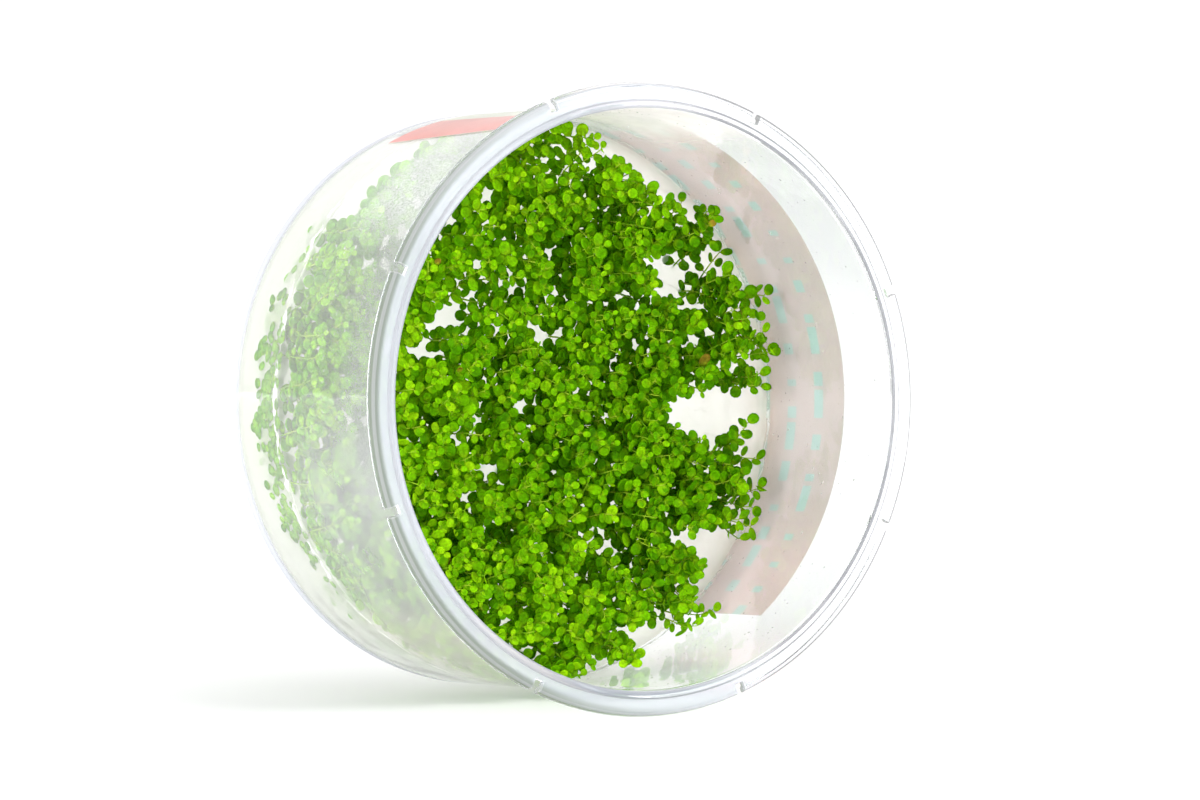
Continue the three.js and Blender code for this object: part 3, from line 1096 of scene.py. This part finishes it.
def placeLeaves(path, bundle, form, wall):
    size = plantSize
    flat, cupping, edge, quads, triangles = form
    along = unit(np.gradient(path, axis=0))
    turn = chance.uniform(0, math.pi)
    x, y = path[0][:2]
    shade = 0.09 * math.sin(x / 4.7 + 1) * math.sin(y / 5.3)  # lighter and darker patches
    shade += 0.05 * math.sin((x + y) / 2.9)
    outermost = easeBetween(math.hypot(x, y), 28, 33) * easeBetween(x, 5, 14)
    for i in range(1, len(path)):
        turn += math.pi / 2 + chance.normal(0, 0.25)
        sideAxis = np.array((math.cos(turn), math.sin(turn), 0))
        fromTop = len(path) - 1 - i
        grown = size["tipSizes"][min(fromTop, 3)]
        grown += (size["outerTipSize"] - grown) * outermost
        for side in (1, -1):
            if chance.uniform() < size["missingLeaves"]:
                continue
            tilt = (size["leafTilt"] + chance.normal(0, 9) + size["tipTilts"][min(fromTop, 2)]) * degree
            direction = side * sideAxis + chance.normal(0, 0.12, 3)
            direction -= along[i] * (direction @ along[i])
            direction = unit(unit(direction) * math.cos(tilt) + along[i] * math.sin(tilt))
            facing = unit(along[i] * 0.4 + np.array((0, 0, 0.9)) + chance.normal(0, 0.27, 3))
            length = size["leafLength"] * grown * (1 + size["leafSpread"] * chance.normal())
            length = np.clip(length, *size["leafLengths"])
            start = path[i] + direction * size["petioleLength"] * chance.uniform(0.8, 1.4)
            middle = start + direction * length / 2
            flatPlace = math.hypot(middle[0], middle[1])
            if flatPlace > wall - size["flatDistance"]:  # it lies flat against the wall
                outwards = np.array((middle[0], middle[1], 0)) / flatPlace
                holdInside(start, wall - size["stalkGap"])
                direction = unit(direction - outwards * (direction @ outwards))
                facing = -outwards
                middle = start + direction * length / 2
                over = math.hypot(middle[0], middle[1]) - (wall - size["leafGap"])
                if over > 0:
                    start -= outwards * over
            across = unit(np.cross(facing, direction))
            turnLeaf = np.column_stack([direction, across, np.cross(direction, across)])
            cup = size["leafCup"] * chance.normal(1.15, 0.7)
            local = (flat * (1, chance.uniform(0.8, 1.02), 1) + cup * cupping) * length
            # tone: lighter for the two youngest pairs, with painted light and shade by place
            typical = 0.42 + 0.12 * (fromTop < 2) + 0.2 * paintedLightByPlace(x, y) + shade
            tone = np.clip(chance.normal(typical, 0.15), 0.02, 0.93)
            if chance.uniform() < size["brownLeaves"]:
                tone = 1.0
            bundle.add(start + local @ turnLeaf.T, quads, triangles, 0, tone, edge, flat[:, 0])
            bundle.addCane([path[i], start + direction * 0.12], [size["petioleRadius"]] * 2, 3, 1, tone)


def awayFrom(middles, x, y):
    return np.hypot(middles[:, 0] - x, middles[:, 1] - y)


def pressLeaves(bundles, middles, form):  # leaves caught flat between the gel and the left wall
    size = pressedSize
    flat, cupping, edge, quads, triangles = form
    for _ in range(size["sprigs"]):
        angle = np.clip(chance.normal(size["middleAngle"], size["angleSpread"]), *size["angleRange"])
        height = gelSize["height"] - abs(chance.normal(0, size["depth"]))
        for _ in range(chance.integers(2, 6)):
            outwards, sideways = roundAxis((angle + chance.normal(0, 1.6)) * degree)
            level = min(max(height + chance.normal(0, 1.1), size["lowest"]), gelSize["height"] + 0.5)
            swing = chance.uniform(0, 2 * math.pi)
            direction = sideways * math.cos(swing) + np.array((0, 0, math.sin(swing)))
            length = size["leafLength"] * chance.uniform(0.75, 1.1)
            middle = outwards * (innerRadius(level) - size["gap"])
            middle[2] = level
            local = flat * (1, chance.uniform(0.7, 1), 0.5) * length
            turnLeaf = np.column_stack([direction, np.cross(-outwards, direction), -outwards])
            tone = np.clip(chance.normal(0.5, 0.17), 0.1, 0.93)
            placed = middle - direction * length / 2 + local @ turnLeaf.T
            nearest = bundles[awayFrom(middles, *middle[:2]).argmin()]
            nearest.add(placed, quads, triangles, 0, tone, edge, flat[:, 0])


def plantStem(path, tip, bundle, form, wall):  # a stem that tapers to a share of its radius, with its leaves
    radius = plantSize["stemRadius"]
    bundle.addCane(path, np.linspace(radius, radius * tip, len(path)), 5, 1, chance.uniform())
    placeLeaves(path, bundle, form, wall)


def makePlants():
    size = plantSize
    names = sorted(n for n in frame["nodes"] if n.startswith("clump_"))
    solids = [toCup([v.co for v in frame["nodes"][n].data.vertices]) for n in names]
    middles = np.array([(s.min(0) + s.max(0))[:2] / 2 for s in solids])
    tops = np.array([s[:, 2].max() for s in solids])
    bundles = [Bundle() for _ in names]
    form = leafForm()
    wall = innerRadius(gelSize["height"])
    for x, y in scatterStems():
        away = awayFrom(middles, x, y)
        closeness = 1 / (away + 2) ** 3
        height = (tops * closeness).sum() / closeness.sum() - abs(chance.normal(0, 1.3)) - 0.4
        height -= sum(
            depth * math.exp(-((x - dipX) ** 2 + (y - dipY) ** 2) / width**2)
            for dipX, dipY, width, depth in size["hollows"]
        )
        plantStem(growStem(x, y, height, wall), 0.5, bundles[away.argmin()], form, wall)
    for angle in np.linspace(*size["runnerAngles"], size["runners"]) * degree:
        path = growRunner(angle + chance.normal(0, 0.02))
        if len(path) < 3 or any(isBare(*point[:2]) for point in path):
            continue
        plantStem(path, 0.6, bundles[awayFrom(middles, *path[0][:2]).argmin()], form, wall)
    pressLeaves(bundles, middles, form)
    materials = [leafMaterial(), stemMaterial()]
    total = 0
    for name, bundle in zip(names, bundles):
        made = bundle.piece(name.replace("clump", "sprigs"), materials, "foliage", name)
        total += sum(len(p.vertices) - 2 for p in made.data.polygons)
    print("plants made,", total, "triangles")


makePlants()


# Condensation: small flattened droplets on the inside of the wall

dropSize = {
    "count": 4600,
    "typical": 0.075,
    "largest": 0.3,
    "flatness": 0.45,
    "sides": 6,
    "rings": ((1, 0), (0.93, 0.4), (0.6, 0.82)),  # radius and height of each, and a point at height 1
    "gap": 0.01,
    "mistShare": 0.75,  # of the droplets, the ones in the mist at the upper left
    "mistAngle": (150, 22),  # its middle and spread
    "highest": 50.5,
    "mistDepth": 13,
    "lowest": 16.5,
    "wallCurve": 45,
}


def waterMaterial():
    material, tree, surface = newMaterial("water drop", (1, 1, 1), 0.02, Transmission_Weight=1.0, IOR=1.33)
    addBump(tree, surface, worldPlace(tree), 800, 2, 0.00005)
    letLightThrough(tree, surface.outputs[0])
    return material


def dropForm():
    sides = dropSize["sides"]
    turns, here, following = ringOf(sides)
    around = np.column_stack([np.cos(turns), np.sin(turns)])
    rings = [np.column_stack([around * r, np.full(sides, h)]) for r, h in dropSize["rings"]]
    points = np.concatenate([*rings, [(0, 0, 1)]])
    crown = np.column_stack([2 * sides + here, 2 * sides + following, np.full(sides, 3 * sides)])
    return points, ringFaces(len(rings), sides), np.concatenate([crown, closingFan(sides)])


def makeDroplets():
    size = dropSize
    form, quads, triangles = dropForm()
    bundle = Bundle()
    while bundle.count < size["count"] * len(form):
        if chance.uniform() < size["mistShare"]:
            angle = chance.normal(*size["mistAngle"])
            height = size["highest"] - abs(chance.normal(0, size["mistDepth"]))
        else:
            angle = chance.uniform(0, 360)
            height = chance.uniform(size["lowest"], size["highest"])
        outwards, across = roundAxis(angle * degree)
        radius = min(size["typical"] * chance.lognormal(0, 0.5), size["largest"])
        sunken = radius**2 / 2 / size["wallCurve"]  # so that the whole rim stands clear of the curved wall
        seat = outwards * (innerRadius(height) - size["gap"] - sunken)
        seat[2] = height
        scaled = form * (radius, radius * chance.uniform(0.8, 1.2), radius * size["flatness"])
        turnDrop = np.column_stack([np.array((0, 0, 1.0)), across, -outwards])
        bundle.add(seat + scaled @ turnDrop.T, quads, triangles, 0, 0.5)
    bundle.piece("condensation", [waterMaterial()], "clear_plastic", None)


makeDroplets()
print("droplets made")


# Studio: a white floor, white surroundings and soft boxes

studio = {
    "floorRings": (0.3, 1.2, 9),
    "floorSides": 96,
    "floorColour": (0.93, 0.93, 0.935),
    "floorPatches": (0.92, 0.925, 0.935),
    "skyLight": 0.72,  # as it lights the object and the floor
    "skySeen": 1.15,  # as it is seen, and as the clear walls show it
    "skyInFront": 0.36,  # the darker side behind the camera, in the clear walls alone
    "skyBackdrop": 1.05,  # as the camera sees it
    "sunStrength": 1.45,
    "sunAngle": 50,
    "sunFrom": (0.6, -0.3, 1.0),
    "boxesAim": (0, 0, 0.04),
    "boxes": (  # name, place, width, height, power, colour and whether the clear walls mirror it
        ("left box", (-1.0, -0.35, 0.22), 0.5, 0.4, 9.5, (1, 1, 1), False),
        ("front right box", (0.63, -1.06, 0.1), 0.75, 0.62, 8, (0.94, 0.97, 1.0), True),
        ("back box", (-0.2, 1.3, 0.22), 0.8, 0.4, 6.1, (1, 1, 1), False),
    ),
}


def makeFloor():
    sides = studio["floorSides"]
    angles = np.linspace(0, 2 * math.pi, sides + 1)[:-1]
    points = [(0, 0, 0)]
    points += [(r * math.cos(a), r * math.sin(a), 0) for r in studio["floorRings"] for a in angles]
    steps = [(k, (k + 1) % sides) for k in range(sides)]
    faces = [(0, 1 + k, 1 + j) for k, j in steps]
    for low in (1, 1 + sides):
        faces += [(low + k, low + sides + k, low + sides + j, low + j) for k, j in steps]
    mesh = bpy.data.meshes.new("floor")
    mesh.from_pydata(points, [], faces)
    colour = studio["floorColour"]
    material, tree, surface = newMaterial("white floor", colour, 0.6, Specular_IOR_Level=0.1)
    paintMottled(tree, surface, worldPlace(tree), (3, 2, 0.3, 0.7), colour, studio["floorPatches"])
    mesh.materials.append(material)
    addObject("floor", mesh)


def makeSky():
    world = bpy.data.worlds.new("studio")
    bpy.context.scene.world = world
    world.use_nodes = True
    tree = world.node_tree
    split = addNode(tree, "SeparateXYZ")
    tree.links.new(addNode(tree, "TexCoord").outputs["Generated"], split.inputs[0])
    mirrored = spread(tree, split.outputs["Y"], -0.7, 0.2, studio["skyInFront"], studio["skySeen"])
    path = addNode(tree, "LightPath")
    strength = blendNumber(tree, path.outputs["Is Diffuse Ray"], mirrored, studio["skyLight"])
    strength = blendNumber(tree, path.outputs["Is Camera Ray"], strength, studio["skyBackdrop"])
    background = tree.nodes["Background"]
    background.inputs["Color"].default_value = (1, 1, 1, 1)
    tree.links.new(strength, background.inputs["Strength"])


def addLight(name, kind, power, direction):
    data = bpy.data.lights.new(name, kind)
    data.energy = power
    lamp = addObject(name, data)
    lamp.rotation_euler = Vector(direction).to_track_quat("-Z", "Y").to_euler()
    return lamp, data


def makeLights():
    sunlight = addLight("top light", "SUN", studio["sunStrength"], -Vector(studio["sunFrom"]))[1]
    sunlight.angle = studio["sunAngle"] * degree
    for name, place, width, height, power, colour, mirrored in studio["boxes"]:
        lamp, data = addLight(name, "AREA", power, Vector(studio["boxesAim"]) - Vector(place))
        lamp.location = place
        lamp.visible_glossy = lamp.visible_transmission = mirrored
        data.shape = "RECTANGLE"
        data.size, data.size_y = width, height
        data.color = colour


makeFloor()
makeSky()
makeLights()
bpy.context.scene.cycles.max_bounces = 16
bpy.context.scene.cycles.transmission_bounces = 16
bpy.context.scene.cycles.transparent_max_bounces = 24
bpy.context.scene.view_settings.view_transform = "Standard"
print("studio lit")
